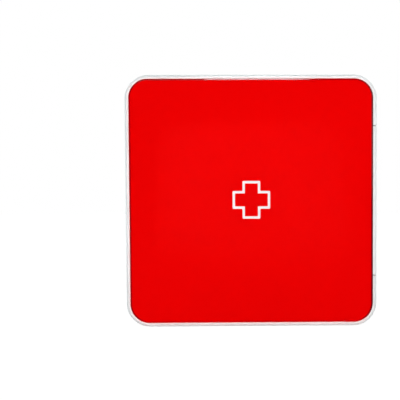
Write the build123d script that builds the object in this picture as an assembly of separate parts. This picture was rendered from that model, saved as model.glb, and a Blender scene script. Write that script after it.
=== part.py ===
from build123d import *
import os
from math import cos, radians, sin, sqrt

# Wall medicine cabinet: a white case with three shelves and a red door with a cross outline.
# Millimetres, +Z up, the front faces -Y and +X is to the right seen from the front.
# The origin is the centre of the bottom of the whole object's box, with the door closed.

# Case: four walls in one piece, with the flat back screwed on behind them
case_width = 380.0
case_height = 380.0
wall_depth = 110.0
wall = 7.5
case_corner = 35.5
rim_bevel = 3.2
rim_bevel_round = 0.8
rim_inner_round = 0.5
back_thickness = 4.0
back_inset = 0.4
back_edge_round = 0.8

# Countersunk screws that hold the back on, two to each wall
back_screw_offset = 100.0
screw_radius = 1.45
screw_hole_clearance = 0.05
countersunk_head_radius = 2.8
countersunk_head_height = 1.4
back_screw_length = 14.0

# Door: an acrylic sheet that lies in front of the rim
door_thickness = 5.0
door_gap = 0.9
rim_shown = 6.5
door_front_round = 3.5
door_back_round = 0.6

# Cross outline let into the door's face
cross_size = 56.6
cross_arm = 26.8
cross_stroke = 3.7
cross_above_centre = 2.0
cross_depth = 0.6
cross_corner_round = 1.5
cross_clearance = 0.05

# Shelves, slid into grooves in the side walls from behind
shelf_names = ["bottom", "middle", "top"]
lowest_shelf = 104.0
top_shelf_from_top = 120.0
shelf_thickness = 4.0
groove_depth = 2.0
groove_clearance = 0.15
groove_lead = 0.2
shelf_back_clearance = 0.1

# Lips: channels that clip over the shelves' front edges and stand up as a guard
lip_set_back = 8.0
lip_height = 17.0
lip_thickness = 2.5
lip_flange = 1.5
lip_grip = 8.0
lip_clearance = 0.1
lip_end_clearance = 0.3
lip_edge_round = 1.2

# Wall-screw holes in the back, one above the other, with a boss round each
wall_hole_from_end = 30.0
wall_hole_radius = 2.75
boss_radius = 6.0
boss_height = 2.0

# Covers that clip over the bosses and hide the wall screws
cover_width = 32.0
cover_height = 45.0
cover_thickness = 8.0
cover_wall = 1.8
cover_edge_round = 2.5
cover_end_clearance = 0.2
cover_ring_wall = 1.8
cover_ring_clearance = 0.1

# Hinges: a pin inside the right wall, and an arm that swings about it in a slot in the rim
pin_radius = 1.0
pin_fit_clearance = 0.03
pin_running_clearance = 0.05
pin_from_side = 3.6
pin_from_front = 3.4
pin_past_arm = 9.0
pin_end_clearance = 0.4
arm_from_end = 77.0
arm_thickness = 1.6
arm_slot_clearance = 0.2
arm_half_width = 1.8
eye_radius = 2.0
eye_clearance = 0.15
toe_radius = 0.6
toe_distance = 1.9
toe_angle = -57.0
tail_inset = 1.0
tail_length = 13.0
tail_width = 8.0
tail_hole_radius = 2.0
insert_clearance = 0.05

# Hinge blocks on the door's back, moulded round the arms
block_from_pin = 5.6
block_width = 17.0
block_height = 42.0
block_thickness = 12.0
block_below_arm = 2.5
block_corner_round = 3.0
block_edge_round = 2.5
pad_thickness = 0.5
pad_inset = 1.0

# Magnetic catch on the left wall, and its strike plate on the door
catch_length = 50.0
catch_depth = 14.0
catch_plate = 2.5
catch_box_width = 12.0
catch_box_length = 32.0
catch_edge_round = 0.8
magnet_width = 5.0
magnet_depth = 8.5
magnet_length = 27.0
pole_thickness = 1.2
pole_depth = 9.0
pole_proud = 0.4
magnet_clearance = 0.1
catch_screw_offset = 20.5
catch_screw_head_radius = 2.6
catch_screw_head_height = 1.6
catch_screw_grip = 5.0
catch_screw_tip_clearance = 0.2
strike_gap = 0.3
strike_thickness = 1.0
strike_pad_thickness = 0.4
strike_pad_inset = 1.0
strike_length = 38.0
strike_width = 11.0
strike_corner = 2.0

# How far a cutting shape runs past the face that it cuts
cut_past = 1.0

# Places worked out from the sizes above
overall_depth = door_thickness + door_gap + wall_depth + back_thickness
door_front_y = -overall_depth / 2
door_back_y = door_front_y + door_thickness
rim_y = door_back_y + door_gap
back_y = overall_depth / 2
panel_y = back_y - back_thickness
half_width = case_width / 2
centre_z = case_height / 2
inner_half = half_width - wall
inner_top = case_height - wall
inner_corner = case_corner - wall
pin_x = half_width - pin_from_side
pin_y = rim_y + pin_from_front
arm_z = case_height - arm_from_end
slot_height = arm_thickness + 2 * arm_slot_clearance
shelf_pitch = (case_height - top_shelf_from_top - lowest_shelf) / (len(shelf_names) - 1)
shelf_z = [lowest_shelf + shelf_pitch * i for i in range(len(shelf_names))]
lip_y = rim_y + lip_set_back
shelf_front_y = lip_y + lip_thickness + lip_clearance
lip_drop = lip_flange + lip_clearance
wall_hole_z = [wall_hole_from_end, case_height - wall_hole_from_end]
strike_face_y = door_back_y + strike_pad_thickness + strike_thickness
catch_y = strike_face_y + strike_gap + pole_proud
catch_z = (case_corner + lowest_shelf - lip_drop) / 2
catch_x = -inner_half + catch_box_width / 2


def slab(profile, y_front, thickness):
    """A flat piece with an outline drawn in X and Z, from y_front backwards."""
    return extrude(Plane.XZ.offset(-y_front) * profile, amount=-thickness)


def block_between(x0, x1, y0, y1, z0, z1):
    """A plain block given by its two corners."""
    centre = Pos((x0 + x1) / 2, (y0 + y1) / 2, (z0 + z1) / 2)
    return centre * Box(x1 - x0, y1 - y0, z1 - z0)


def rod_along_y(radius, x, z, y0, y1):
    return Pos(x, (y0 + y1) / 2, z) * Rot(X=90) * Cylinder(radius, y1 - y0)


def rod_along_x(radius, y, z, x0, x1):
    return Pos((x0 + x1) / 2, y, z) * Rot(Y=90) * Cylinder(radius, x1 - x0)


def front_edges(part):
    return part.faces().sort_by(Axis.Y)[0].edges()


def back_edges(part):
    return part.faces().sort_by(Axis.Y)[-1].edges()


def upside_down(part):
    """The same piece at the other end of the cabinet."""
    return mirror(part, about=Plane.XY.offset(centre_z))


def bullet(width, height):
    """An outline with a flat end at the top and a round end below it, hung from its flat end."""
    straight = height - width / 2
    outline = Pos(0, -straight / 2) * Rectangle(width, straight)
    return outline + Pos(0, -straight) * Circle(width / 2)


# The two walls' screw centres lie on a square round the case
def back_screw_places():
    side_x = half_width - wall / 2
    end_z = case_height - wall / 2
    places = []
    for offset in (-back_screw_offset, back_screw_offset):
        places += [(-side_x, centre_z + offset), (side_x, centre_z + offset)]
        places += [(offset, wall / 2), (offset, end_z)]
    return places


def countersunk_screw(x, z, clearance):
    """A screw with its flat head flush with the back face, or its hole when given a clearance."""
    shank_front = back_y - back_screw_length - clearance
    shank = rod_along_y(screw_radius + clearance, x, z, shank_front, back_y)
    head = Cone(screw_radius + clearance, countersunk_head_radius + clearance, countersunk_head_height)
    return shank + Pos(x, back_y - countersunk_head_height / 2, z) * Rot(X=-90) * head


def hinge_pin_bore(radius, z_low, z_high):
    return Pos(pin_x, pin_y, (z_low + z_high) / 2) * Cylinder(radius, z_high - z_low)


def cabinet_shell():
    case_outline = Pos(0, centre_z) * RectangleRounded(case_width, case_height, case_corner)
    inner_size = (case_width - 2 * wall, case_height - 2 * wall)
    inner_outline = Pos(0, centre_z) * RectangleRounded(*inner_size, inner_corner)
    shell = slab(case_outline - inner_outline, rim_y, wall_depth)
    rim = shell.faces().sort_by(Axis.Y)[0]
    shell = chamfer(rim.outer_wire().edges(), rim_bevel)
    rim = shell.faces().sort_by(Axis.Y)[0]
    bevel_back_y = rim_y + rim_bevel
    bevel_edges = rim.outer_wire().edges()
    bevel_edges += shell.edges().filter_by_position(Axis.Y, bevel_back_y, bevel_back_y)
    shell = fillet(bevel_edges, rim_bevel_round)
    rim = shell.faces().sort_by(Axis.Y)[0]
    shell = fillet(rim.inner_wires()[0].edges(), rim_inner_round)

    # Grooves for the shelves, open at the back
    for z in shelf_z:
        low = z - groove_clearance
        high = z + shelf_thickness + groove_clearance
        for side in (-1, 1):
            x_pair = sorted((side * (inner_half - cut_past), side * (inner_half + groove_depth)))
            shell -= block_between(*x_pair, shelf_front_y - groove_lead, panel_y + cut_past, low, high)

    # Slots and bores of the two hinges
    slot_back = pin_y + eye_radius + eye_clearance
    slot_x = (inner_half - cut_past, half_width + cut_past)
    slot = block_between(*slot_x, rim_y - cut_past, slot_back,
                         arm_z - slot_height / 2, arm_z + slot_height / 2)
    bore = hinge_pin_bore(pin_radius + pin_fit_clearance, arm_z - pin_past_arm, case_height)
    for cut in (slot, bore):
        shell -= cut
        shell -= upside_down(cut)

    # Holes for the screws of the back and of the catch
    for x, z in back_screw_places():
        shell -= countersunk_screw(x, z, screw_hole_clearance)
    for z in catch_screw_z():
        hole_end = -inner_half - catch_screw_grip - catch_screw_tip_clearance
        shell -= rod_along_x(screw_radius + screw_hole_clearance, catch_screw_y(), z,
                             hole_end, -inner_half + cut_past)
    return shell


def back_panel():
    size = (case_width - 2 * back_inset, case_height - 2 * back_inset)
    outline = Pos(0, centre_z) * RectangleRounded(*size, case_corner - back_inset)
    panel = slab(outline, panel_y, back_thickness)
    panel = fillet(back_edges(panel), back_edge_round)
    for z in wall_hole_z:
        panel += rod_along_y(boss_radius, 0, z, panel_y - boss_height, panel_y + cut_past)
        panel -= rod_along_y(wall_hole_radius, 0, z, panel_y - boss_height - cut_past, back_y + cut_past)
    for x, z in back_screw_places():
        panel -= countersunk_screw(x, z, screw_hole_clearance)
    return panel


def back_screws():
    return Compound([countersunk_screw(x, z, 0) for x, z in back_screw_places()])


def shelf(z):
    half = inner_half + groove_depth - groove_clearance
    return block_between(-half, half, shelf_front_y, panel_y - shelf_back_clearance,
                         z, z + shelf_thickness)


def lip(z):
    half = inner_half - lip_end_clearance
    low = z - lip_drop
    grip_y = lip_y + lip_thickness + lip_grip
    upper = z + shelf_thickness + lip_clearance
    front = block_between(-half, half, lip_y, lip_y + lip_thickness, low, low + lip_height)
    front = fillet(front.faces().sort_by(Axis.Z)[-1].edges().filter_by(Axis.X), lip_edge_round)
    under = block_between(-half, half, lip_y + lip_edge_round, grip_y, low, low + lip_flange)
    over = block_between(-half, half, lip_y + lip_edge_round, grip_y, upper, upper + lip_flange)
    return front + under + over


def cover_top():
    z_flat = inner_top - cover_end_clearance
    y_front = panel_y - cover_thickness
    hollow_depth = cover_thickness - cover_wall
    cover = slab(Pos(0, z_flat) * bullet(cover_width, cover_height), y_front, cover_thickness)
    cover = fillet(front_edges(cover), cover_edge_round)
    hollow = bullet(cover_width - 2 * cover_wall, cover_height - 2 * cover_wall)
    cover -= slab(Pos(0, z_flat - cover_wall) * hollow, y_front + cover_wall, hollow_depth + cut_past)
    ring_inner = boss_radius + cover_ring_clearance
    ring = Circle(ring_inner + cover_ring_wall) - Circle(ring_inner)
    return cover + slab(Pos(0, wall_hole_z[1]) * ring, y_front + cover_wall, hollow_depth)


def hinge_pin_top():
    # The bore comes out of the rounded corner, so the pin ends just under that curve
    arc_x = pin_x + pin_radius - (half_width - case_corner)
    z_high = case_height - case_corner + sqrt(case_corner**2 - arc_x**2) - pin_end_clearance
    return hinge_pin_bore(pin_radius, arm_z - pin_past_arm + pin_end_clearance, z_high)


def arm_outline():
    """The hinge arm seen from above, with the pin's centre at the origin."""
    tail_right = -block_from_pin - tail_inset
    toe = Pos(toe_distance * cos(radians(toe_angle)), toe_distance * sin(radians(toe_angle)))
    outline = Circle(eye_radius) + toe * Circle(toe_radius)
    outline += Pos(tail_right / 2, 0) * Rectangle(-tail_right, 2 * arm_half_width)
    tail_y = tail_width / 2 - arm_half_width
    return outline + Pos(tail_right - tail_length / 2, tail_y) * Rectangle(tail_length, tail_width)


def tail_hole(radius):
    tail_right = -block_from_pin - tail_inset
    tail_y = tail_width / 2 - arm_half_width
    return Pos(tail_right - tail_length / 2, tail_y) * Circle(radius)


def flat_at_arm(profile, thickness):
    """A level plate centred on the arm's height, with its outline measured from the pin."""
    return extrude(Plane((pin_x, pin_y, arm_z - thickness / 2)) * profile, amount=thickness)


def hinge_arm_top():
    pin_hole = Circle(pin_radius + pin_running_clearance)
    return flat_at_arm(arm_outline() - pin_hole - tail_hole(tail_hole_radius), arm_thickness)


def block_place():
    """Where the top hinge block's flat end is centred, in X and Z."""
    x = pin_x - block_from_pin - block_width / 2
    return x, arm_z - block_below_arm - block_width / 2 + block_height


def hinge_block_top():
    x, z_flat = block_place()
    outline = Pos(x, z_flat) * bullet(block_width, block_height)
    block = slab(outline, door_back_y + pad_thickness, block_thickness)
    flat_end = block.faces().sort_by(Axis.Z)[-1]
    block = fillet(flat_end.edges().filter_by(Axis.Y), block_corner_round)
    block = fillet(back_edges(block), block_edge_round)
    pocket = offset(arm_outline(), insert_clearance) - tail_hole(tail_hole_radius - insert_clearance)
    return block - flat_at_arm(pocket, arm_thickness + 2 * insert_clearance)


def hinge_pads():
    x, z_flat = block_place()
    outline = bullet(block_width - 2 * pad_inset, block_height - 2 * pad_inset)
    pad = slab(Pos(x, z_flat - pad_inset) * outline, door_back_y, pad_thickness)
    return Compound([pad, upside_down(pad)])


def plus_sign(size, arm, corner_round):
    cross = Rectangle(size, arm) + Rectangle(arm, size)
    return fillet(cross.vertices(), corner_round)


def cross_band(clearance):
    """The band between two plus signs, wider by a clearance on each side for its groove."""
    grown = 2 * clearance
    shrunk = 2 * cross_stroke + grown
    inner_round = cross_corner_round / 2
    band = plus_sign(cross_size + grown, cross_arm + grown, cross_corner_round)
    band -= plus_sign(cross_size - shrunk, cross_arm - shrunk, inner_round)
    return Pos(0, centre_z + cross_above_centre) * band


def door_panel():
    size = (case_width - 2 * rim_shown, case_height - 2 * rim_shown)
    outline = Pos(0, centre_z) * RectangleRounded(*size, case_corner - rim_shown)
    door = slab(outline, door_front_y, door_thickness)
    door = fillet(front_edges(door), door_front_round)
    door = fillet(back_edges(door), door_back_round)
    return door - slab(cross_band(cross_clearance), door_front_y, cross_depth)


def cross_outline():
    return slab(cross_band(0), door_front_y, cross_depth)


def catch_screw_y():
    return catch_y + catch_depth / 2


def catch_screw_z():
    return [catch_z - catch_screw_offset, catch_z + catch_screw_offset]


def catch_pocket(clearance):
    """The magnet's pocket, which holds the magnet between its two pole plates."""
    half_x = magnet_width / 2 + pole_thickness + clearance
    half_z = magnet_length / 2 + clearance
    return block_between(catch_x - half_x, catch_x + half_x, catch_y - cut_past,
                         catch_y - pole_proud + pole_depth + clearance,
                         catch_z - half_z, catch_z + half_z)


def catch_housing():
    y_back = catch_y + catch_depth
    plate_z = (catch_z - catch_length / 2, catch_z + catch_length / 2)
    box_z = (catch_z - catch_box_length / 2, catch_z + catch_box_length / 2)
    housing = block_between(-inner_half, -inner_half + catch_box_width, catch_y, y_back, *box_z)
    housing = fillet(housing.edges().filter_by(Axis.Y).sort_by(Axis.X)[-2:], catch_edge_round)
    housing += block_between(-inner_half, -inner_half + catch_plate, catch_y, y_back, *plate_z)
    housing -= catch_pocket(magnet_clearance)
    for z in catch_screw_z():
        housing -= rod_along_x(screw_radius + screw_hole_clearance, catch_screw_y(), z,
                               -inner_half - cut_past, -inner_half + catch_plate + cut_past)
    return housing


def catch_magnet():
    y_back = catch_y - pole_proud + pole_depth
    half_x = magnet_width / 2
    half_z = magnet_length / 2
    return block_between(catch_x - half_x, catch_x + half_x, y_back - magnet_depth, y_back,
                         catch_z - half_z, catch_z + half_z)


def catch_poles():
    y_front = catch_y - pole_proud
    half_z = magnet_length / 2
    plates = []
    for side in (-1, 1):
        x_pair = sorted((catch_x + side * magnet_width / 2,
                         catch_x + side * (magnet_width / 2 + pole_thickness)))
        plates.append(block_between(*x_pair, y_front, y_front + pole_depth,
                                    catch_z - half_z, catch_z + half_z))
    return Compound(plates)


def catch_screws():
    seat_x = -inner_half + catch_plate
    screws = []
    for z in catch_screw_z():
        shank = rod_along_x(screw_radius, catch_screw_y(), z, -inner_half - catch_screw_grip, seat_x)
        head = rod_along_x(catch_screw_head_radius, catch_screw_y(), z,
                           seat_x, seat_x + catch_screw_head_height)
        head = fillet(head.edges().sort_by(Axis.X)[-1], catch_screw_head_height / 2)
        screws.append(shank + head)
    return Compound(screws)


def strike_piece(inset, y_front, thickness):
    outline = RectangleRounded(strike_width - 2 * inset, strike_length - 2 * inset, strike_corner)
    return slab(Pos(catch_x, catch_z) * outline, y_front, thickness)


def strike_plate():
    return strike_piece(0, door_back_y + strike_pad_thickness, strike_thickness)


def strike_pad():
    return strike_piece(strike_pad_inset, door_back_y, strike_pad_thickness)


pieces = {
    "cabinet_shell": cabinet_shell(),
    "back_panel": back_panel(),
    "back_screws": back_screws(),
    "cover_top": cover_top(),
    "cover_bottom": upside_down(cover_top()),
    "hinge_pin_top": hinge_pin_top(),
    "hinge_pin_bottom": upside_down(hinge_pin_top()),
    "catch_housing": catch_housing(),
    "catch_magnet": catch_magnet(),
    "catch_poles": catch_poles(),
    "catch_screws": catch_screws(),
    "door_panel": door_panel(),
    "cross_outline": cross_outline(),
    "hinge_block_top": hinge_block_top(),
    "hinge_block_bottom": upside_down(hinge_block_top()),
    "hinge_arm_top": hinge_arm_top(),
    "hinge_arm_bottom": upside_down(hinge_arm_top()),
    "hinge_pads": hinge_pads(),
    "strike_plate": strike_plate(),
    "strike_pad": strike_pad(),
}
for name, z in zip(shelf_names, shelf_z):
    pieces["shelf_" + name] = shelf(z)
    pieces["lip_" + name] = lip(z)

os.makedirs("parts", exist_ok=True)
for name, piece in pieces.items():
    export_step(piece, "parts/" + name + ".step")
    print(name, round(piece.volume / 1000, 2), "cm3")
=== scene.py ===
from math import cos, pi, radians, sin, tan

import bmesh
import bpy
from mathutils import Matrix, Vector


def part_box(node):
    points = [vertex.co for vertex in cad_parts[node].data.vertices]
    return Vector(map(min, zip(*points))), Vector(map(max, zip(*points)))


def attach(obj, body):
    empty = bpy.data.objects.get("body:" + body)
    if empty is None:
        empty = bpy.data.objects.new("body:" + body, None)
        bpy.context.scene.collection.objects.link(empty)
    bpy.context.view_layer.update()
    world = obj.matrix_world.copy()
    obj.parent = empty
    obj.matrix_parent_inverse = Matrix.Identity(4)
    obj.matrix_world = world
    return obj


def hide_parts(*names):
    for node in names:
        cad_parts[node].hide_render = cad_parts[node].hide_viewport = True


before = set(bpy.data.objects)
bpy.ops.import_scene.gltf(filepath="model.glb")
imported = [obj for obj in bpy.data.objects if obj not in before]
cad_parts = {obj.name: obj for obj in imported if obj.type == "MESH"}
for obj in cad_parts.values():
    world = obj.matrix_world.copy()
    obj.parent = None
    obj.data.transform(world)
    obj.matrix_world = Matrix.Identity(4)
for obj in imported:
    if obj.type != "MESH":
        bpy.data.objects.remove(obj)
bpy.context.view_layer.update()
mm = 0.001


# The case is one injection moulding in white ABS: four walls with round corners, open in front
# and behind. Its front rim is bevelled outside. Two slots let the hinge arms through the rim, and
# grooves in the side walls take the shelves from behind.
case_low, case_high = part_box("cabinet_shell")
case_half = case_high.x
mid_height = (case_low.z + case_high.z) / 2
rim_y = case_low.y
wall_back_y = case_high.y
case_corner = 35.5 * mm
wall = 7.5 * mm
rim_bevel = 3.2 * mm
bevel_angle = 45
bevel_round = 0.8 * mm
mouth_round = 0.5 * mm
groove_depth = 2 * mm
groove_play = 0.15 * mm
arm_slot_play = 0.2 * mm
arm_slot_back = 2.15 * mm
pin_bore = 1.03 * mm
pin_bore_past_arm = 9 * mm
past = 1 * mm


def arc(centre, radius, start, end, steps):
    """Points along an arc in a plane, from one angle in degrees to another."""
    turns = [radians(start + (end - start) * i / steps) for i in range(steps + 1)]
    return [(centre[0] + radius * cos(t), centre[1] + radius * sin(t)) for t in turns]


def round_cornered(half_width, half_height, corner, centre, steps):
    """An anticlockwise outline in X and Z with four round corners."""
    points = []
    for quarter, (side, end) in enumerate(((1, 1), (-1, 1), (-1, -1), (1, -1))):
        middle = (centre[0] + side * (half_width - corner), centre[1] + end * (half_height - corner))
        points += arc(middle, corner, 90 * quarter, 90 * quarter + 90, steps)
    return points


def inset(outline, distance):
    """An anticlockwise outline moved inwards by a distance, with mitred corners."""
    moved = []
    for before, here, after in zip(outline[-1:] + outline[:-1], outline, outline[1:] + outline[:1]):
        here = Vector(here)
        arriving = (here - Vector(before)).normalized()
        leaving = (Vector(after) - here).normalized()
        inward = Vector((-arriving.y, arriving.x))
        inward_after = Vector((-leaving.y, leaving.x))
        mitre = (inward + inward_after) / (1 + inward.dot(inward_after))
        moved.append(tuple(here + mitre * distance))
    return moved


def placed(name, bm):
    """The mesh being built, as an object at the origin."""
    bmesh.ops.recalc_face_normals(bm, faces=bm.faces)
    mesh = bpy.data.meshes.new(name)
    bm.to_mesh(mesh)
    bm.free()
    piece = bpy.data.objects.new(name, mesh)
    bpy.context.scene.collection.objects.link(piece)
    return piece


def walled(bm, ring, following):
    """Faces between two rings that have the same number of corners."""
    for i in range(len(ring)):
        j = (i + 1) % len(ring)
        bm.faces.new((ring[i], ring[j], following[j], following[i]))


def swept(name, outline, section, closed=False):
    """A section carried round an outline in X and Z. Its points are (distance in, y).

    An open section ends in a flat face at each end, and a closed one makes a frame.
    """
    bm = bmesh.new()
    rings = [[bm.verts.new((x, y, z)) for x, z in inset(outline, depth)] for depth, y in section]
    pairs = list(zip(rings, rings[1:]))
    if closed:
        pairs.append((rings[-1], rings[0]))
    else:
        bm.faces.new(rings[0])
        bm.faces.new(rings[-1])
    for ring, following in pairs:
        walled(bm, ring, following)
    return placed(name, bm)


def block(name, low, high):
    """A plain block between two corners."""
    bm = bmesh.new()
    bmesh.ops.create_cube(bm, size=1)
    low, high = Vector(low), Vector(high)
    size = high - low
    for v in bm.verts:
        v.co = (low + high) / 2 + Vector((v.co.x * size.x, v.co.y * size.y, v.co.z * size.z))
    return placed(name, bm)


def turned(name, profile, centre, along, steps=32, closed=False):
    """A profile of (radius, distance along) turned about a line through a point."""
    first, second, axis = {"X": ((0, 1, 0), (0, 0, 1), (1, 0, 0)),
                           "Y": ((0, 0, 1), (1, 0, 0), (0, 1, 0)),
                           "Z": ((1, 0, 0), (0, 1, 0), (0, 0, 1))}[along]
    first, second, axis = Vector(first), Vector(second), Vector(axis)
    bm = bmesh.new()
    rings = []
    for radius, distance in profile:
        middle = Vector(centre) + axis * distance
        if radius == 0:
            rings.append([bm.verts.new(middle)])
            continue
        turns = [2 * pi * i / steps for i in range(steps)]
        rings.append([bm.verts.new(middle + (first * cos(t) + second * sin(t)) * radius) for t in turns])
    pairs = list(zip(rings, rings[1:])) + ([(rings[-1], rings[0])] if closed else [])
    for ring, following in pairs:
        for i in range(steps):
            j = (i + 1) % steps
            corners = [ring[i % len(ring)], ring[j % len(ring)],
                       following[j % len(following)], following[i % len(following)]]
            bm.faces.new(list(dict.fromkeys(corners)))
    return placed(name, bm)


def rod(name, radius, centre, along, start, end, steps=32):
    """A plain cylinder about a line through a point."""
    return turned(name, [(0, start), (radius, start), (radius, end), (0, end)], centre, along, steps)


def baked(piece):
    """The piece with what its modifiers make as its own mesh."""
    graph = bpy.context.evaluated_depsgraph_get()
    mesh = bpy.data.meshes.new_from_object(piece.evaluated_get(graph), depsgraph=graph)
    piece.modifiers.clear()
    piece.data = mesh


def carved(piece, tools, operation="DIFFERENCE"):
    """The piece with each tool's shape cut away from it, or added to it."""
    for tool in tools:
        modifier = piece.modifiers.new("Cut", "BOOLEAN")
        modifier.operation = operation
        modifier.solver = "EXACT"
        modifier.object = tool
        bpy.context.view_layer.update()
        baked(piece)
        bpy.data.objects.remove(tool)
    return piece


def softened(piece, width=0, steps=2, crease=35):
    """Small roundings on the sharp edges, and shading that keeps flat faces flat."""
    if width:
        bevel = piece.modifiers.new("Edges", "BEVEL")
        bevel.width = width
        bevel.segments = steps
        bevel.limit_method = "ANGLE"
        bevel.angle_limit = radians(crease)
        baked(piece)
    piece.data.shade_smooth()
    piece.data.set_sharp_from_angle(angle=radians(crease))
    normals = piece.modifiers.new("Flat faces", "WEIGHTED_NORMAL")
    normals.keep_sharp = True


class Wire:
    """One output of a node, so that a sum on it adds the nodes for that sum."""

    def __init__(self, nodes, socket):
        self.nodes = nodes
        self.socket = socket

    def math(self, operation, first, second=0.0):
        return self.nodes.node("ShaderNodeMath", {"operation": operation}, {0: first, 1: second})

    def __add__(self, other):
        return self.math("ADD", self, other)

    def __radd__(self, other):
        return self.math("ADD", other, self)

    def __sub__(self, other):
        return self.math("SUBTRACT", self, other)

    def __rsub__(self, other):
        return self.math("SUBTRACT", other, self)

    def __mul__(self, other):
        return self.math("MULTIPLY", self, other)

    def __rmul__(self, other):
        return self.math("MULTIPLY", other, self)

    def __truediv__(self, other):
        return self.math("DIVIDE", self, other)

    def __rtruediv__(self, other):
        return self.math("DIVIDE", other, self)

    def __mod__(self, other):
        return self.math("FLOORED_MODULO", self, other)

    def __rmod__(self, other):
        return self.math("FLOORED_MODULO", other, self)

    def __pow__(self, other):
        return self.math("POWER", self, other)

    def __rpow__(self, other):
        return self.math("POWER", other, self)

    def __gt__(self, other):
        return self.math("GREATER_THAN", self, other)

    def __lt__(self, other):
        return self.math("LESS_THAN", self, other)

    def __abs__(self):
        return self.math("ABSOLUTE", self)

    def larger(self, other):
        return self.math("MAXIMUM", self, other)

    def smaller(self, other):
        return self.math("MINIMUM", self, other)

    def part(self, axis):
        """X, Y or Z of a vector."""
        return self.nodes.node("ShaderNodeSeparateXYZ", {}, {0: self}, out=axis)


class Nodes:
    """A node tree in which any node is added in one way."""

    def __init__(self, tree):
        self.tree = tree

    def node(self, kind, settings=None, values=None, out=0):
        """A new node: its settings first, then the values or links of its sockets."""
        made = self.tree.nodes.new(kind)
        for setting, value in (settings or {}).items():
            setattr(made, setting, value)
        for key, value in (values or {}).items():
            self.join(value, made.inputs[key])
        return Wire(self, made.outputs[out])

    def join(self, value, socket):
        if isinstance(value, Wire):
            self.tree.links.new(value.socket, socket)
        elif socket.type == "RGBA" and len(value) == 3:
            socket.default_value = (*value, 1)
        else:
            socket.default_value = value

    def step(self, value, low, high, to_low=0.0, to_high=1.0):
        """A smooth change between two values of the input."""
        return self.node("ShaderNodeMapRange", {"interpolation_type": "SMOOTHSTEP"}, {
            "Value": value, "From Min": low, "From Max": high, "To Min": to_low, "To Max": to_high})

    def mix(self, mask, first, second):
        """A colour between two colours."""
        return self.node("ShaderNodeMix", {"data_type": "RGBA"}, {0: mask, 6: first, 7: second}, out=2)


class Finish(Nodes):
    """A material: its constants are set on the shader, and what varies is fed in afterwards."""

    def __init__(self, name, settled):
        self.material = bpy.data.materials.new(name)
        self.material.use_nodes = True
        super().__init__(self.material.node_tree)
        self.shader = self.tree.nodes["Principled BSDF"]
        for socket, value in settled.items():
            self.join(value, self.shader.inputs[socket])

    def feed(self, **wires):
        for socket, wire in wires.items():
            self.join(wire, self.shader.inputs[socket.replace("_", " ")])

    def spot(self):
        """Where a point is on the piece."""
        return self.node("ShaderNodeTexCoord", out="Object")

    def place(self, stretch, turn=(0, 0, 0)):
        """The same, stretched and turned for a pattern."""
        return self.node("ShaderNodeMapping", {}, {
            "Vector": self.spot(), "Scale": stretch, "Rotation": turn})

    def noise(self, where, scale, detail, rough=0.5, warp=0.0):
        return self.node("ShaderNodeTexNoise", {}, {
            "Vector": where, "Scale": scale, "Detail": detail, "Roughness": rough, "Distortion": warp})

    def cells(self, where, scale):
        return self.node("ShaderNodeTexVoronoi", {}, {"Vector": where, "Scale": scale})

    def clouded(self, pattern, lit, shaded):
        """Two colours that pass softly into each other over a pattern."""
        return self.mix(self.step(pattern, 0.3, 0.7), lit, shaded)

    def bump(self, height, depth, strength, over=None):
        """The surface raised by up to a depth in metres where the height is one."""
        values = {"Height": height, "Distance": depth, "Strength": strength}
        if over is not None:
            values["Normal"] = over
        return self.node("ShaderNodeBump", {}, values)

    def scratches(self, scale, width, turn, length=14.0):
        """Fine straight marks, one where the mark is and fading beside it."""
        lean_x, lean_z = 0.3, 0.2
        along = self.place(stretch=(1, 1, 1 / length), turn=(lean_x, turn, lean_z))
        lines = self.noise(along, scale=scale, detail=1.0, rough=0.3)
        return self.step(abs(lines - 0.5), 0.0, width, 1.0, 0.0)

    def edge_of(self, half, corner, centre_z):
        """Distance outside a round-cornered square in X and Z, negative inside it."""
        where = self.spot()
        across = abs(where.part(0)) - (half - corner)
        up = abs(where.part(2) - centre_z) - (half - corner)
        out_x, out_z = across.larger(0.0), up.larger(0.0)
        beyond = (out_x * out_x + out_z * out_z) ** 0.5
        return beyond + across.larger(up).smaller(0.0) - corner


def white_moulding(name, lit, shaded, gloss, grain, half, corner):
    """Polished white plastic with faint flow marks, fine orange peel and scuffs along its edges."""
    finish = Finish(name, {"IOR": 1.53, "Coat Roughness": 0.06})
    where = finish.spot()
    flow = finish.noise(finish.place(stretch=(1, 1.6, 0.5)), scale=7, detail=3, warp=0.6)
    speckle = finish.noise(where, scale=420, detail=2)
    scratch = finish.scratches(scale=260, width=0.012, turn=0.5).larger(
        finish.scratches(scale=180, width=0.009, turn=-0.9))
    scuffed = finish.step(finish.noise(where, scale=55, detail=4, rough=0.7), 0.5, 0.72)
    near_edge = finish.step(finish.edge_of(half, corner, mid_height), -2.2 * mm, 0.2 * mm)
    worn = scuffed * near_edge
    grubby = tuple(0.9 * c for c in shaded)
    colour = finish.mix(worn * 0.35, finish.clouded(flow, lit, shaded), grubby)
    roughness = gloss + 0.05 * speckle + 0.10 * worn + 0.06 * scratch + 0.04 * flow
    peel = finish.bump(finish.noise(where, scale=grain, detail=1), depth=0.006 * mm, strength=0.5)
    sink = finish.bump(finish.noise(where, scale=16, detail=1), depth=0.05 * mm, strength=0.4, over=peel)
    finish.feed(Base_Color=colour, Roughness=roughness, Coat_Weight=0.25 - 0.2 * worn,
                Normal=finish.bump(scratch * -1.0, depth=0.004 * mm, strength=0.4, over=sink))
    return finish.material


def dressed(piece, material, body, slot, *nodes):
    """The finished piece takes its material, its body and its place among the CAD nodes."""
    piece.data.materials.clear()
    piece.data.materials.append(material)
    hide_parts(*nodes)
    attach(piece, body)


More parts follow.
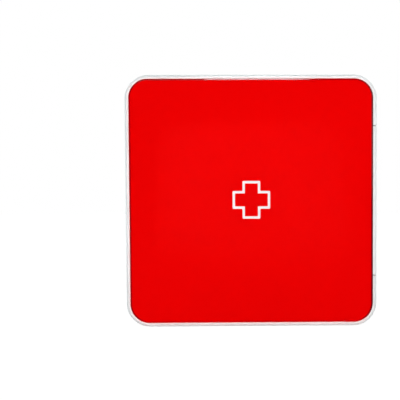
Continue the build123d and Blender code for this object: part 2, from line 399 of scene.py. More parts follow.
case_outline = round_cornered(case_half, case_half, case_corner, (0, mid_height), steps=32)
beyond_bevel = rim_bevel + bevel_round * tan(radians(bevel_angle / 2))
case_section = (
    [(0, wall_back_y)]
    + arc((bevel_round, rim_y + beyond_bevel), bevel_round, 180, 180 + bevel_angle, steps=5)
    + arc((beyond_bevel, rim_y + bevel_round), bevel_round, 180 + bevel_angle, 270, steps=5)
    + arc((wall - mouth_round, rim_y + mouth_round), mouth_round, 270, 360, steps=4)
    + [(wall, wall_back_y)]
)
case = swept("cabinet_moulding", case_outline, case_section, closed=True)

cuts = []
for side in ("bottom", "middle", "top"):
    low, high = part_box("shelf_" + side)
    for edge in (-1, 1):
        x_pair = sorted((edge * (case_half - wall - past), edge * (case_half - wall + groove_depth)))
        cuts.append(block("groove", (x_pair[0], low.y - groove_play, low.z - groove_play),
                          (x_pair[1], wall_back_y + past, high.z + groove_play)))
for end in ("top", "bottom"):
    arm_low, arm_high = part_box("hinge_arm_" + end)
    pin_low, pin_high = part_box("hinge_pin_" + end)
    pin = (pin_low + pin_high) / 2
    cuts.append(block("slot", (case_half - wall - past, rim_y - past, arm_low.z - arm_slot_play),
                      (case_half + past, pin.y + arm_slot_back, arm_high.z + arm_slot_play)))
    toward_end = 1 if end == "top" else -1
    arm_height = (arm_low.z + arm_high.z) / 2
    outer_end = case_high.z if end == "top" else case_low.z
    spans = sorted((arm_height - toward_end * pin_bore_past_arm, outer_end + toward_end * past))
    cuts.append(rod("bore", pin_bore, (pin.x, pin.y, 0), "Z", *spans))
softened(carved(case, cuts))
case_white = white_moulding("Moulding white", lit=(0.955, 0.955, 0.955), shaded=(0.93, 0.935, 0.94),
                            gloss=0.13, grain=900, half=case_half, corner=case_corner)
dressed(case, case_white, "cabinet", "case_white", "cabinet_shell")


# Three shelves in white sheet slide into the grooves from behind, and the back keeps them there.
# They are sawn to length, so their edges are only broken and their ends sit inside the walls.
shelf_low, shelf_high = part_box("shelf_bottom")
shelf_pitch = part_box("shelf_middle")[0].z - shelf_low.z
shelf_thickness = shelf_high.z - shelf_low.z
shelf_edge = 0.4 * mm
shelf_names = ("shelf_bottom", "shelf_middle", "shelf_top")


class Plan(Nodes):
    """A geometry tree with named inputs that ends in one real mesh with its material."""

    def __init__(self, name, inputs):
        super().__init__(bpy.data.node_groups.new(name, "GeometryNodeTree"))
        self.tree.interface.new_socket("Geometry", in_out="OUTPUT", socket_type="NodeSocketGeometry")
        for label, kind in inputs.items():
            self.tree.interface.new_socket(label, in_out="INPUT", socket_type="NodeSocket" + kind)
        self.given = self.tree.nodes.new("NodeGroupInput")

    def given_as(self, label):
        return Wire(self, self.given.outputs[label])

    def ends_in(self, points, turn=(0, 0, 0)):
        """One of the pieces at each point, made real and given its finish."""
        piece = self.node("GeometryNodeObjectInfo", {}, {
            "Object": self.given_as("Piece"), "As Instance": True}, out="Geometry")
        rows = self.node("GeometryNodeInstanceOnPoints", {}, {
            "Points": points, "Instance": piece, "Rotation": turn})
        real = self.node("GeometryNodeRealizeInstances", {}, {"Geometry": rows})
        done = self.node("GeometryNodeSetMaterial", {}, {
            "Geometry": real, "Material": self.given_as("Finish")})
        output = self.tree.nodes.new("NodeGroupOutput")
        self.join(done, output.inputs[0])

    def made(self, name, piece, **values):
        """The mesh this tree makes with the given inputs. The single piece goes with it."""
        carrier = bpy.data.objects.new(name, bpy.data.meshes.new(name))
        bpy.context.scene.collection.objects.link(carrier)
        modifier = carrier.modifiers.new(self.tree.name, "NODES")
        modifier.node_group = self.tree
        values["Piece"] = piece
        for item in self.tree.interface.items_tree:
            if item.in_out == "INPUT":
                modifier[item.identifier] = values[item.name]
        bpy.context.view_layer.update()
        baked(carrier)
        bpy.data.objects.remove(piece)
        return carrier


row = Plan("Row of like pieces up the case", {
    "Piece": "Object", "Count": "Int", "First": "Float", "Pitch": "Float", "Finish": "Material"})
row.ends_in(row.node("GeometryNodeMeshLine", {"mode": "OFFSET"}, {
    "Count": row.given_as("Count"),
    "Start Location": row.node("ShaderNodeCombineXYZ", {}, {"Z": row.given_as("First")}),
    "Offset": row.node("ShaderNodeCombineXYZ", {}, {"Z": row.given_as("Pitch")})}))

one_shelf = block("shelf", (shelf_low.x, shelf_low.y, 0), (shelf_high.x, shelf_high.y, shelf_thickness))
softened(one_shelf, shelf_edge)
shelf_white = white_moulding("Shelf white", lit=(0.92, 0.94, 0.975), shaded=(0.89, 0.91, 0.955),
                             gloss=0.10, grain=700, half=case_half, corner=case_corner)
shelves = row.made("shelves", one_shelf, Count=len(shelf_names), First=shelf_low.z, Pitch=shelf_pitch,
                   Finish=shelf_white)
softened(shelves)
dressed(shelves, shelf_white, "cabinet", "shelf_white", *shelf_names)


# Each shelf's front edge carries a lip, an extruded channel in clear red acrylic that grips the
# shelf between two flanges and stands up in front as a guard. Its top edge is rounded over and
# carries a painted pink highlight, and painted shade darkens it downwards, over the part where the
# flanges and the shelf are behind it.
lip_low, lip_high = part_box("lip_bottom")
lip_height = lip_high.z - lip_low.z
lip_grip = lip_high.y - lip_low.y
lip_front = 2.5 * mm
lip_flange = 1.5 * mm
lip_gap = 4.2 * mm
lip_round = 1.2 * mm
lip_foot_round = 0.7 * mm
lip_edge = 0.2 * mm
# Painted shade on the lip's lower part: full up to the first height, gone by the second, and its colour.
lip_shade_full_below = 1.0 * mm
lip_shade_gone_above = 10.5 * mm
lip_painted_shade = (0.15, 0.05, 0.065)
# The painted highlight along the lip's top edge: where it starts and is full, and its colour.
lip_highlight_starts = 2.6 * mm
lip_highlight_full = 1.4 * mm
lip_painted_highlight = (0.95, 0.26, 0.38)
lip_names = ("lip_bottom", "lip_middle", "lip_top")


def extruded(name, section, start, end):
    """A section in Y and Z drawn out along X."""
    bm = bmesh.new()
    near = [bm.verts.new((start, y, z)) for y, z in section]
    far = [bm.verts.new((end, y, z)) for y, z in section]
    bm.faces.new(near)
    bm.faces.new(far)
    walled(bm, near, far)
    return placed(name, bm)


flange_top = lip_flange + lip_gap + lip_flange
lip_section = (
    arc((lip_foot_round, lip_foot_round), lip_foot_round, 180, 270, steps=5)
    + [(lip_grip, 0), (lip_grip, lip_flange), (lip_front, lip_flange),
       (lip_front, lip_flange + lip_gap), (lip_grip, lip_flange + lip_gap), (lip_grip, flange_top),
       (lip_front, flange_top)]
    + arc((lip_front - lip_round, lip_height - lip_round), lip_round, 0, 90, steps=6)
    + arc((lip_round, lip_height - lip_round), lip_round, 90, 180, steps=6)
)
one_lip = extruded("lip", [(lip_low.y + y, z) for y, z in lip_section], lip_low.x, lip_high.x)
softened(one_lip, lip_edge, crease=50)

lip_red = Finish("Lip red acrylic", {
    "IOR": 1.49, "Transmission Weight": 0.35, "Coat Weight": 0.3, "Coat Roughness": 0.03})
where = lip_red.spot()
streak = lip_red.noise(lip_red.place(stretch=(0.08, 1, 1)), scale=260, detail=2)
cloud = lip_red.noise(where, scale=24, detail=3)
polish = lip_red.scratches(scale=320, width=0.02, turn=1.57, length=30)
up_lip = (where.part(2) - lip_low.z) % shelf_pitch
# Painted shade: the lip's colour darkens towards its lower part.
painted_shade_low = lip_red.step(up_lip, lip_shade_full_below, lip_shade_gone_above, 1.0, 0.0)
# Painted highlight: a pale pink band along the lip's rounded top edge.
painted_highlight_top = lip_red.step(up_lip, lip_height - lip_highlight_starts, lip_height - lip_highlight_full)
lip_colour = lip_red.clouded(cloud, lit=(0.80, 0.034, 0.10), shaded=(0.72, 0.028, 0.085))
lip_colour = lip_red.mix(painted_shade_low * 0.9, lip_colour, lip_painted_shade)
waves = lip_red.bump(cloud, depth=0.04 * mm, strength=0.3)
lip_red.feed(
    Base_Color=lip_red.mix(painted_highlight_top * 0.8, lip_colour, lip_painted_highlight),
    Roughness=0.05 + 0.05 * streak + 0.10 * polish,
    Normal=lip_red.bump(streak, depth=0.012 * mm, strength=0.4, over=waves))
lips = row.made("shelf_lips", one_lip, Count=len(lip_names), First=lip_low.z, Pitch=shelf_pitch,
                Finish=lip_red.material)
softened(lips, crease=50)
dressed(lips, lip_red.material, "cabinet", "lip_red", *lip_names)


# The back is flat white sheet a little smaller than the case, with its outer edge rounded. It has
# a boss in front round each wall-screw hole, and countersinks behind for the eight screws that
# hold it to the walls.
back_low, back_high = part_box("back_panel")
boss_front_y = back_low.y
back_y = back_high.y
back_thickness = 4 * mm
sheet_y = back_y - back_thickness
back_half = back_high.x
back_round = 0.8 * mm
boss_radius = 6 * mm
wall_hole = 2.75 * mm
wall_hole_from_end = 30 * mm
screw_reach = case_half - wall / 2
screw_spread = 100 * mm
screw_head = 2.8 * mm
screw_head_height = 1.4 * mm
screw_shank = 1.45 * mm
screw_play = 0.05 * mm

screw_places = []
for offset in (-screw_spread, screw_spread):
    screw_places += [(-screw_reach, mid_height + offset), (screw_reach, mid_height + offset),
                     (offset, mid_height - screw_reach), (offset, mid_height + screw_reach)]
back_corner = case_corner - (case_half - back_half)
back_outline = round_cornered(back_half, back_half, back_corner, (0, mid_height), steps=32)
back_section = [(0, sheet_y)] + arc((back_round, back_y - back_round), back_round, 180, 90, steps=4)
back = swept("back_panel_sheet", back_outline, back_section)
hole_heights = (wall_hole_from_end, 2 * mid_height - wall_hole_from_end)
bosses = [rod("boss", boss_radius, (0, 0, z), "Y", boss_front_y, sheet_y + past, steps=48)
          for z in hole_heights]
carved(back, bosses, operation="UNION")
holes = [rod("hole", wall_hole, (0, 0, z), "Y", boss_front_y - past, back_y + past) for z in hole_heights]
for x, z in screw_places:
    shank, head = screw_shank + screw_play, screw_head + screw_play
    holes.append(turned("countersink", [
        (0, sheet_y - past), (shank, sheet_y - past), (shank, back_y - screw_head_height),
        (head, back_y), (head, back_y + past), (0, back_y + past)], (x, 0, z), "Y"))
softened(carved(back, holes))
back_white = white_moulding("Back white", lit=(0.93, 0.95, 0.98), shaded=(0.90, 0.92, 0.96),
                            gloss=0.12, grain=600, half=back_half, corner=case_corner)
dressed(back, back_white, "cabinet", "back_white", "back_panel")


# Eight zinc-plated countersunk screws hold the back on, two to a wall. Each was driven home by
# hand, so the cross recesses stand at any angle.
recess_length = 3.2 * mm
recess_width = 0.75 * mm
recess_depth = 1.1 * mm
screw_length = 14 * mm
head_edge = 0.12 * mm
point_length = 2.5 * mm
point_radius = 0.35 * mm
point_blunt = 0.2 * mm


def recess_tools(along, face, length, width, depth):
    """Two crossed wedges, narrower towards their tips, that cut a recess into a screw head."""
    flare = 1.3
    narrowing = 3.5
    tools = []
    for turn in (0, 1):
        bm = bmesh.new()
        rings = []
        reach = length / 2
        for distance, half in ((past, reach * flare), (0, reach), (-depth, reach / narrowing)):
            ring = []
            for u, v in ((-half, -width / 2), (half, -width / 2), (half, width / 2), (-half, width / 2)):
                u, v = (v, -u) if turn else (u, v)
                out = face + distance
                ring.append(bm.verts.new((u, out, v) if along == "Y" else (out, u, v)))
            rings.append(ring)
        bm.faces.new(rings[0])
        bm.faces.new(rings[-1])
        for ring, following in zip(rings, rings[1:]):
            walled(bm, ring, following)
        tools.append(placed("recess", bm))
    return tools


def plated(name, colour, tint, scale, settled):
    """Bright plated steel: cloudy plating, fine turning marks and darker spots where it has dulled."""
    finish = Finish(name, settled)
    where = finish.spot()
    cloud = finish.noise(where, scale=scale, detail=4, rough=0.6)
    fine = finish.noise(finish.place(stretch=(1, 1, 6)), scale=scale * 9, detail=2)
    dull = finish.step(finish.noise(where, scale=scale * 2.3, detail=5, rough=0.7), 0.55, 0.75)
    tarnished = tuple(0.62 * c for c in colour)
    finish.feed(
        Base_Color=finish.mix(dull * 0.45, finish.clouded(cloud, colour, tint), tarnished),
        Roughness=0.20 + 0.12 * fine + 0.25 * dull,
        Normal=finish.bump(fine, depth=0.004 * mm, strength=0.5))
    return finish.material


one_screw = turned("screw", [
    (0, 0), (screw_head - head_edge, 0), (screw_head, -head_edge), (screw_shank, -screw_head_height),
    (screw_shank, -screw_length + point_length), (point_radius, -screw_length + point_blunt),
    (0, -screw_length)], (0, 0, 0), "Y", steps=40)
carved(one_screw, recess_tools("Y", 0, recess_length, recess_width, recess_depth))

ring = Plan("Screws round the back", {
    "Piece": "Object", "Count": "Int", "Reach": "Float", "Spread": "Float", "Height": "Float",
    "Face": "Float", "Seed": "Int", "Finish": "Material"})
index = ring.node("GeometryNodeInputIndex")
second_on_wall = index % 2.0
wall_number = (index - second_on_wall) / 2.0
either_end = second_on_wall * 2.0 - 1.0
on_one_wall = ring.node("ShaderNodeCombineXYZ", {}, {
    "X": ring.given_as("Reach"), "Z": either_end * ring.given_as("Spread")})
on_its_wall = ring.node("ShaderNodeVectorRotate", {"rotation_type": "Y_AXIS"}, {
    "Vector": on_one_wall, "Angle": wall_number * (pi / 2)})
at_the_back = ring.node("ShaderNodeCombineXYZ", {}, {
    "Y": ring.given_as("Face"), "Z": ring.given_as("Height")})
centres = ring.node("ShaderNodeVectorMath", {"operation": "ADD"}, {0: on_its_wall, 1: at_the_back})
driven = ring.node("FunctionNodeRandomValue", {"data_type": "FLOAT"}, {
    2: 0.0, 3: 2 * pi, "Seed": ring.given_as("Seed")}, out=1)
ring.ends_in(
    ring.node("GeometryNodePoints", {}, {"Count": ring.given_as("Count"), "Position": centres}),
    turn=ring.node("ShaderNodeCombineXYZ", {}, {"Y": driven}))
zinc = plated("Zinc plate", colour=(0.66, 0.66, 0.64), tint=(0.60, 0.61, 0.63), scale=300,
              settled={"Metallic": 1.0})
back_screws = ring.made("back_screw_set", one_screw, Count=len(screw_places), Reach=screw_reach,
                        Spread=screw_spread, Height=mid_height, Face=back_y, Seed=7, Finish=zinc)
softened(back_screws, crease=30)
dressed(back_screws, zinc, "cabinet", "zinc_screws", "back_screws")


# Over each wall screw a red moulded cover clips onto the boss. It is flat where it meets the
# ceiling or the floor of the case and round at its free end, with soft front edges.
cover_low, cover_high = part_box("cover_top")
cover_wall = 1.8 * mm
cover_edge_round = 2.5 * mm
cover_soft = 0.15 * mm
clip_play = 0.1 * mm
clip_root = 0.2 * mm


def bullet(width, height, flat_z, centre_x=0.0, corner=0.0):
    """An outline with a flat top and a round end below it."""
    half = width / 2
    end = arc((centre_x, flat_z - height + half), half, 180, 360, steps=24)
    if not corner:
        return end + [(centre_x + half, flat_z), (centre_x - half, flat_z)]
    right = arc((centre_x + half - corner, flat_z - corner), corner, 0, 90, steps=8)
    left = arc((centre_x - half + corner, flat_z - corner), corner, 90, 180, steps=8)
    return end + right + left


def upside_down(points):
    """An outline turned over about the cabinet's middle height."""
    return [(x, 2 * mid_height - z) for x, z in reversed(points)]


def red_moulding(name, lit, shaded, swirl_scale):
    """Glossy red moulded plastic with a faint swirl of pigment and fine polishing marks."""
    finish = Finish(name, {"IOR": 1.5, "Coat Weight": 0.2, "Coat Roughness": 0.04})
    where = finish.spot()
    swirl = finish.noise(where, scale=swirl_scale, detail=4, warp=1.2)
    speckle = finish.noise(where, scale=900, detail=1)
    mark = finish.scratches(scale=420, width=0.014, turn=0.8)
    waves = finish.bump(swirl, depth=0.03 * mm, strength=0.3)
    finish.feed(
        Base_Color=finish.clouded(swirl, lit, shaded),
        Roughness=0.11 + 0.05 * speckle + 0.08 * mark + 0.04 * swirl,
        Normal=finish.bump(speckle, depth=0.005 * mm, strength=0.4, over=waves))
    return finish.material


cover_outline = bullet(cover_high.x - cover_low.x, cover_high.z - cover_low.z, cover_high.z)
cover_section = (
    arc((cover_edge_round, cover_low.y + cover_edge_round), cover_edge_round, 270, 180, steps=7)
    + [(0, cover_high.y), (cover_wall, cover_high.y), (cover_wall, cover_low.y + cover_wall)]
)
cover_red = red_moulding("Cover red", lit=(0.62, 0.025, 0.10), shaded=(0.54, 0.018, 0.08), swirl_scale=90)
for end, outline in (("top", cover_outline), ("bottom", upside_down(cover_outline))):
    cover = swept("screw_cover_" + end, outline, cover_section)
    z = hole_heights[1] if end == "top" else hole_heights[0]
    inner, outer = boss_radius + clip_play, boss_radius + clip_play + cover_wall
    root_y = cover_low.y + cover_wall - clip_root
    clip = turned("clip", [(inner, root_y), (outer, root_y), (outer, cover_high.y), (inner, cover_high.y)],
                  (0, 0, z), "Y", steps=48, closed=True)
    softened(carved(cover, [clip], operation="UNION"), cover_soft, crease=50)
    dressed(cover, cover_red, "cabinet", "cover_red", "cover_" + end)


# A magnetic catch is screwed to the left wall: a satin white housing, a ferrite block held
# between two steel pole plates, and two pan-head screws through its foot.
housing_low, housing_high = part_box("catch_housing")
poles_low, poles_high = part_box("catch_poles")
foot_thickness = 2.5 * mm
screw_bore = 1.5 * mm
housing_foot = 9 * mm
pocket_play = 0.1 * mm
catch_screw_low, catch_screw_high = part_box("catch_screws")
pan_radius = 2.6 * mm
pan_height = 1.6 * mm
pan_profile = ((0.55, 1.0), (0.82, 0.86), (0.96, 0.55), (1.0, 0.2), (1.0, 0.0))
pan_recess = (3 * mm, 0.7 * mm, 1.0 * mm)
pan_point_from = 6 * mm
pan_point_to = 7.4 * mm
pan_length = 7.5 * mm
pan_point_radius = 0.3 * mm
housing_soft = 0.35 * mm

housing = block("catch_body", (housing_low.x, housing_low.y, housing_low.z + housing_foot),
                (housing_high.x, housing_high.y, housing_high.z - housing_foot))
foot = block("foot", housing_low, (housing_low.x + foot_thickness, housing_high.y, housing_high.z))
carved(housing, [foot], operation="UNION")
pocket = block("pocket", (poles_low.x - pocket_play, housing_low.y - past, poles_low.z - pocket_play),
               (poles_high.x + pocket_play, poles_high.y + pocket_play, poles_high.z + pocket_play))
screw_y = (catch_screw_low.y + catch_screw_high.y) / 2
screw_heights = (catch_screw_low.z + pan_radius, catch_screw_high.z - pan_radius)
screw_holes = [rod("hole", screw_bore, (0, screw_y, z), "X", housing_low.x - past,
                   housing_low.x + foot_thickness + past) for z in screw_heights]
softened(carved(housing, [pocket] + screw_holes), housing_soft, steps=3)

catch_white = Finish("Catch satin white", {"IOR": 1.5})
where = catch_white.spot()
grit = catch_white.noise(where, scale=1500, detail=2)
cloud = catch_white.noise(where, scale=60, detail=3)
catch_white.feed(
    Base_Color=catch_white.clouded(cloud, lit=(0.80, 0.80, 0.79), shaded=(0.74, 0.74, 0.73)),
    Roughness=0.38 + 0.15 * grit,
    Normal=catch_white.bump(grit, depth=0.012 * mm, strength=0.6))
dressed(housing, catch_white.material, "cabinet", "catch_white", "catch_housing")

pan_screw = turned("pan", (
    [(0, pan_height)]
    + [(pan_radius * out, pan_height * up) for out, up in pan_profile]
    + [(screw_shank, 0), (screw_shank, -pan_point_from), (pan_point_radius, -pan_point_to),
       (0, -pan_length)]), (0, 0, 0), "X", steps=40)
carved(pan_screw, recess_tools("X", pan_height, *pan_recess))
for v in pan_screw.data.vertices:
    v.co += Vector((housing_low.x + foot_thickness, screw_y, 0))
catch_screws = row.made("catch_screw_pair", pan_screw, Count=len(screw_heights), First=screw_heights[0],
                        Pitch=screw_heights[1] - screw_heights[0], Finish=zinc)
softened(catch_screws, crease=30)
dressed(catch_screws, zinc, "cabinet", "zinc_screws", "catch_screws")


def refinished(material, *nodes):
    """CAD nodes whose shape is right keep it and take a better material."""
    for name in nodes:
        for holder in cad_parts[name].material_slots:
            holder.material = material


ferrite = Finish("Ferrite", {"IOR": 2.0})
where = ferrite.spot()
grain = ferrite.noise(where, scale=2200, detail=4, rough=0.7)
pits = ferrite.step(ferrite.cells(where, scale=900), 0.12, 0.3)
ferrite.feed(
    Base_Color=ferrite.mix(grain, (0.045, 0.045, 0.05), (0.09, 0.088, 0.09)),
    Roughness=0.45 + 0.25 * grain,
    Normal=ferrite.bump(pits * grain, depth=0.02 * mm, strength=0.8))
refinished(ferrite.material, "catch_magnet")
nickel = plated("Nickel plate", colour=(0.76, 0.75, 0.73), tint=(0.70, 0.69, 0.68), scale=120,
                settled={"Metallic": 0.6})
refinished(nickel, "catch_poles")


# The hinges turn on two nickel-plated steel pins, pushed into the right wall from its round
# corners, so only their ends show.
refinished(nickel, "hinge_pin_top", "hinge_pin_bottom")


# The door is a 5 mm sheet of polished red acrylic with rounded corners and a rounded front edge.
# Its front rounding carries painted shade, darkest on the hinge side and weakest at the foot, and
# along its outermost edge a painted salmon highlight with a faint painted glow. The back is darker
# and mirrors more, and the cross let into the face shows through it faintly.
door_low, door_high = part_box("door_panel")
door_half = door_high.x
door_corner = case_corner - (case_half - door_half)
door_round = 3.5 * mm
door_back_round = 0.6 * mm
cross_size = 56.6 * mm
cross_arm = 26.8 * mm
cross_stroke = 3.7 * mm
cross_height = mid_height + 2 * mm
cross_depth = 0.6 * mm
cross_play = 0.05 * mm
cross_round = 1.5 * mm
cross_edge = 0.08 * mm
# The painted highlight and painted glow along the door's outermost edge: its width and colours.
painted_edge_from = 0.9 * mm
painted_edge_full = 0.5 * mm
edge_painted_highlight = (1.0, 0.27, 0.20)
edge_painted_glow = (0.35, 0.03, 0.03)
# Where the painted shade on the hinge side sets in.
hinge_side_from = 8 * mm
hinge_side_full = 3 * mm
# The painted shade over the door's edge rounding: its width, its colour and how much is left at the foot.
edge_shade_from = 4.4 * mm
edge_shade_full = 1.7 * mm
painted_shade_red = (0.28, 0.0, 0.004)
painted_shade_red_at_hinge = (0.13, 0.0, 0.004)
foot_from = 3 * mm
foot_full = 8 * mm
edge_shade_at_foot = 0.4
back_skin = 0.3 * mm
back_edge_skin = 1.0 * mm
back_red = (0.46, 0.002, 0.014)
cross_from_back = (0.95, 0.16, 0.12)


def plus_outline(size, arm, corner):
    """An anticlockwise plus sign on the door's centre line, with every corner rounded."""
    a, b = size / 2, arm / 2
    plain = [(b, -a), (b, -b), (a, -b), (a, b), (b, b), (b, a), (-b, a), (-b, b), (-a, b), (-a, -b),
             (-b, -b), (-b, -a)]
    steps = 5
    points = []
    for before, here, after in zip(plain[-1:] + plain[:-1], plain, plain[1:] + plain[:1]):
        here = Vector(here)
        back_way = (Vector(before) - here).normalized() * corner
        on_way = (Vector(after) - here).normalized() * corner
        for i in range(steps + 1):
            turn = pi / 2 * i / steps
            spot = here + back_way + on_way - on_way * cos(turn) - back_way * sin(turn)
            points.append((spot.x, spot.y + cross_height))
    return points


def plus_band(name, grown, front_y, back_y, edge=0.0):
    """The band between two plus signs, wider all round by an amount."""
    section = [(edge, front_y), (0, front_y + edge), (0, back_y)] if edge else [(0, front_y), (0, back_y)]
    band = swept(name, plus_outline(cross_size + 2 * grown, cross_arm + 2 * grown, cross_round), section)
    shrunk = 2 * cross_stroke + 2 * grown
    core = swept("core", plus_outline(cross_size - shrunk, cross_arm - shrunk, cross_round / 2),
                 [(0, front_y - past), (0, back_y + past)])
    return carved(band, [core])


door_section = (
    arc((door_round, door_low.y + door_round), door_round, 270, 180, steps=12)
    + arc((door_back_round, door_high.y - door_back_round), door_back_round, 180, 90, steps=4)
)
door_outline = round_cornered(door_half, door_half, door_corner, (0, mid_height), steps=32)
door = swept("door_sheet", door_outline, door_section)
carved(door, [plus_band("groove", cross_play, door_low.y - past, door_low.y + cross_depth)])
softened(door)

door_red = Finish("Door red acrylic", {
    "IOR": 1.49, "Emission Strength": 1.0, "Coat IOR": 1.6, "Coat Roughness": 0.02})
where = door_red.spot()
depth_cloud = door_red.noise(where, scale=5, detail=2)
outside = door_red.edge_of(door_half, door_corner, mid_height)
# Painted shade: the edge is darker on the hinge side, and its painted highlight weaker there.
hinge_side = door_red.step(where.part(0), door_half - hinge_side_from, door_half - hinge_side_full)
# Painted highlight and painted glow: a salmon band along the outermost edge, faint on the hinge side.
painted_edge_light = door_red.step(outside, -painted_edge_from, -painted_edge_full) * (1.0 - 0.9 * hinge_side)
# Painted shade: a dark red band over the edge's rounding, weaker at the foot as if lit from the floor.
shade_eased_at_foot = door_red.step(where.part(2), door_low.z + foot_from, door_low.z + foot_full, edge_shade_at_foot)
off_back = where.part(1) < door_high.y - back_edge_skin
painted_edge_shade = door_red.step(outside, -edge_shade_from, -edge_shade_full) * shade_eased_at_foot * off_back
inner_face = where.part(1) > door_high.y - back_skin
up, across = abs(where.part(2) - cross_height), abs(where.part(0))


def plus_mask(across, up, size, arm):
    """One inside a plus sign about the cross's centre."""
    tall = (across < arm / 2) * (up < size / 2)
    wide = (across < size / 2) * (up < arm / 2)
    return tall.larger(wide)


both_strokes = 2 * cross_stroke
band_mask = (plus_mask(across, up, cross_size, cross_arm)
             - plus_mask(across, up, cross_size - both_strokes, cross_arm - both_strokes))
shows_through = band_mask * inner_face
smudge = door_red.step(door_red.noise(where, scale=18, detail=3, warp=0.8), 0.56, 0.74)
hair = door_red.scratches(scale=300, width=0.010, turn=0.7, length=20).larger(
    door_red.scratches(scale=240, width=0.008, turn=-1.2, length=26))
body_red = door_red.clouded(depth_cloud, lit=(0.85, 0.0, 0.0003), shaded=(0.83, 0.0, 0.0003))
# Painted shade on the edge's rounding.
body_red = door_red.mix(painted_edge_shade, body_red, painted_shade_red)
# Painted shade: darker still on the hinge side.
body_red = door_red.mix(painted_edge_shade * hinge_side, body_red, painted_shade_red_at_hinge)
body_red = door_red.mix(inner_face, body_red, back_red)
body_red = door_red.mix(shows_through * 0.5, body_red, cross_from_back)
fine_marks = door_red.bump(hair * -1.0, depth=0.002 * mm, strength=0.3)
# The salmon band feeds the colour as a painted highlight and the emission as a painted glow.
door_red.feed(
    Base_Color=door_red.mix(painted_edge_light, body_red, edge_painted_highlight),
    Emission_Color=door_red.mix(painted_edge_light, (0, 0, 0), edge_painted_glow),
    Roughness=0.016 + 0.01 * smudge + 0.04 * hair,
    Coat_Weight=inner_face * 0.9,
    Normal=door_red.bump(depth_cloud, depth=0.25 * mm, strength=0.25, over=fine_marks))
dressed(door, door_red.material, "door", "door_red", "door_panel")


# The cross is a white outline let into a groove in the door's face and finished flush with it.
cross = plus_band("cross_inlay", 0.0, door_low.y, door_low.y + cross_depth, edge=cross_edge)
softened(cross)
cross_white = Finish("Cross white", {"IOR": 1.46})
where = cross_white.spot()
fill = cross_white.noise(where, scale=700, detail=3)
tone = cross_white.noise(where, scale=60, detail=2)
cross_white.feed(
    Base_Color=cross_white.clouded(tone, lit=(0.93, 0.86, 0.86), shaded=(0.89, 0.80, 0.80)),
    Roughness=0.42 + 0.18 * fill,
    Normal=cross_white.bump(fill, depth=0.01 * mm, strength=0.5))
dressed(cross, cross_white.material, "door", "cross_white", "cross_outline")


# On the door's back, near its free edge, a nickel-plated strike plate meets the catch. It is
# bonded on with a thin clear pad.
strike_low, strike_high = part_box("strike_plate")
strike_corner = 2 * mm
strike_round = 0.2 * mm
strike_centre = (strike_low + strike_high) / 2
strike_outline = round_cornered((strike_high.x - strike_low.x) / 2, (strike_high.z - strike_low.z) / 2,
                                strike_corner, (strike_centre.x, strike_centre.z), steps=8)
strike = swept("strike_sheet", strike_outline, [
    (0, strike_low.y)] + arc((strike_round, strike_high.y - strike_round), strike_round, 180, 90, steps=4))
softened(strike)
dressed(strike, nickel, "door", "hinge_steel", "strike_plate")

bonding = Finish("Bonding pad", {"IOR": 1.45, "Transmission Weight": 0.2})
where = bonding.spot()
foam = bonding.cells(where, scale=1600)
haze = bonding.noise(where, scale=200, detail=3)
bonding.feed(
    Base_Color=bonding.mix(haze, (0.78, 0.75, 0.72), (0.70, 0.66, 0.63)),
    Roughness=0.35 + 0.2 * foam,
    Normal=bonding.bump(foam, depth=0.02 * mm, strength=0.5))
refinished(bonding.material, "strike_pad", "hinge_pads")


# Each hinge is a red moulded block bonded to the door's back, with a nickel-plated arm moulded
# into it. The arm's eye sits on the pin in the right wall, and its toe stops the door.
block_edge_round = 2.5 * mm
block_corner = 3 * mm
block_foot = 0.3 * mm
block_low, block_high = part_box("hinge_block_top")
block_outline = bullet(block_high.x - block_low.x, block_high.z - block_low.z, block_high.z,
                       centre_x=(block_low.x + block_high.x) / 2, corner=block_corner)
block_section = (
    [(block_foot, block_low.y), (0, block_low.y + block_foot)]
    + arc((block_edge_round, block_high.y - block_edge_round), block_edge_round, 180, 90, steps=8)
)
block_red = red_moulding("Hinge block red", lit=(0.52, 0.008, 0.028), shaded=(0.45, 0.006, 0.022),
                         swirl_scale=110)
for end, outline in (("top", block_outline), ("bottom", upside_down(block_outline))):
    hinge_block = swept("hinge_moulding_" + end, outline, block_section)
    softened(hinge_block)
    dressed(hinge_block, block_red, "door", "cover_red", "hinge_block_" + end)
refinished(nickel, "hinge_arm_top", "hinge_arm_bottom")


# The studio: a pale floor, a soft lamp straight in front, a broad one high on the left, a weak one
# on the right, one behind on each side, and two small ones for the highlights on the door's edges.
# What the object mirrors is white behind it and dark in front, which keeps the door's red deep.
floor_reach = 12
floor_gap = 0.05 * mm
floor_bright = 1.1
floor_even = 0.88
unlit = 0.01
ambient = 0.26
from_behind = 2.2
sky_tint = (0.84, 0.98, 1.0)


def rays(nodes):
    """One for the rays from the camera, and one for those from a reflection or through glass."""
    seen = nodes.node("ShaderNodeLightPath", out="Is Camera Ray")
    mirrored = nodes.node("ShaderNodeLightPath", out="Is Glossy Ray")
    through = nodes.node("ShaderNodeLightPath", out="Is Transmission Ray")
    return seen, mirrored.larger(through)


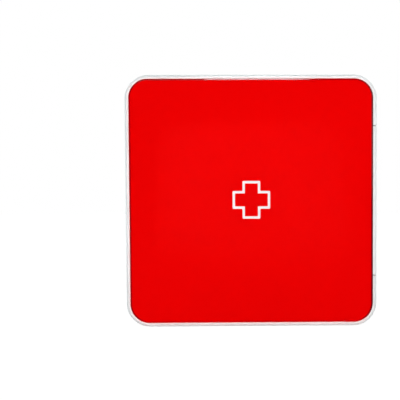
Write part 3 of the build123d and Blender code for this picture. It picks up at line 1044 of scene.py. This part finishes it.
bm = bmesh.new()
bmesh.ops.create_grid(bm, x_segments=8, y_segments=8, size=floor_reach)
for v in bm.verts:
    v.co.z = case_low.z - floor_gap
floor = placed("floor", bm)
pale = Finish("Pale floor", {"Specular IOR Level": 0.2})
seen, mirrored = rays(pale)
where = pale.spot()
pale.feed(Base_Color=pale.mix(pale.noise(where, scale=3, detail=3), (0.82, 0.82, 0.82), (0.79, 0.79, 0.80)),
          Roughness=0.7 + 0.15 * pale.noise(where, scale=40, detail=2))
behind = pale.step(where.part(1), -0.1, 0.4, unlit, 1.0)
glow = pale.node("ShaderNodeEmission", {}, {
    "Color": (1, 1, 1), "Strength": seen * floor_bright + mirrored * behind})
share = (seen * floor_even).larger(mirrored)
both = pale.node("ShaderNodeMixShader", {}, {0: share, 1: Wire(pale, pale.shader.outputs[0]), 2: glow})
pale.join(both, pale.tree.nodes["Material Output"].inputs["Surface"])
floor.data.materials.append(pale.material)

world = bpy.data.worlds.new("Surround")
bpy.context.scene.world = world
world.use_nodes = True
world.node_tree.nodes.clear()
sky = Nodes(world.node_tree)
seen, mirrored = rays(sky)
toward = sky.node("ShaderNodeTexCoord", out="Generated")
behind = sky.step(toward.part(1), -0.1, 0.5, unlit, 1.0)
in_back = toward.part(1).larger(0.0)
soft = ambient + from_behind * in_back ** 6.0
directly = seen.larger(mirrored)
tint = sky.mix(toward.part(2).larger(0.0) * (1.0 - directly), (1, 1, 1), sky_tint)
surround = sky.node("ShaderNodeBackground", {}, {
    "Color": tint, "Strength": seen.larger(mirrored * behind) + (1.0 - directly) * soft})
outlet = world.node_tree.nodes.new("ShaderNodeOutputWorld")
sky.join(surround, outlet.inputs["Surface"])


def lamp(name, place, aim, size, power, colour=(1, 1, 1), lights=True, mirrored=True):
    """A soft rectangular lamp that lights the object, is mirrored in it, or both."""
    light = bpy.data.lights.new(name, "AREA")
    light.shape = "RECTANGLE"
    light.size, light.size_y = size
    light.energy = power
    light.color = colour
    holder = bpy.data.objects.new(name, light)
    bpy.context.scene.collection.objects.link(holder)
    holder.location = place
    holder.rotation_euler = (Vector(aim) - Vector(place)).to_track_quat("-Z", "Y").to_euler()
    holder.visible_diffuse = lights
    holder.visible_glossy = mirrored


middle = (0, 0, mid_height)
door_top = (0.02, door_low.y, door_high.z)
door_right = (door_high.x, door_low.y, 0.28)
lamp("Front", place=(0, -1.5, mid_height - 0.05), aim=middle, size=(0.7, 0.7), power=16.4, mirrored=False)
lamp("Key", place=(-0.7, -1.6, 2.2), aim=middle, size=(1.8, 1.4), power=10, colour=(0.85, 1, 1))
lamp("Fill", place=(2.0, -1.7, 0.9), aim=middle, size=(1.2, 1.4), power=4)
for side in (-1, 1):
    lamp("Side", place=(2.0 * side, 1.5, 0.8), aim=middle, size=(1.2, 1.2), power=16, mirrored=False)
lamp("Top edge", place=(0.02, -0.5, 1.15), aim=door_top, size=(0.3, 0.32), power=8,
     colour=(0.85, 0.92, 1), lights=False)
lamp("Right edge", place=(1.15, -0.62, 0.39), aim=door_right, size=(0.12, 0.25), power=0.45)


# The camera stands about a metre in front of the door. Its turn, lens and shift are those that bring
# the door's four edges to their places in the photo, where lengths were measured in pixels.
image_width = 400
lens_pixels = 626.3
left_pixels = 56.8
up_pixels = 26.3
turn_right = 0.60
tilt_down = 1.98
roll = 0.25
stands = (-0.0019, -1.0, mid_height - 0.0052)

view = bpy.data.cameras.new("View")
view.sensor_width = 36
view.lens = view.sensor_width * lens_pixels / image_width
view.shift_x = -left_pixels / image_width
view.shift_y = up_pixels / image_width
camera = bpy.data.objects.new("View", view)
bpy.context.scene.collection.objects.link(camera)
turned_by = (Matrix.Rotation(radians(-turn_right), 4, "Z")
             @ Matrix.Rotation(radians(90 - tilt_down), 4, "X")
             @ Matrix.Rotation(radians(-roll), 4, "Z"))
camera.matrix_world = Matrix.Translation(stands) @ turned_by
bpy.context.scene.camera = camera
bpy.context.scene.view_settings.view_transform = "Standard"
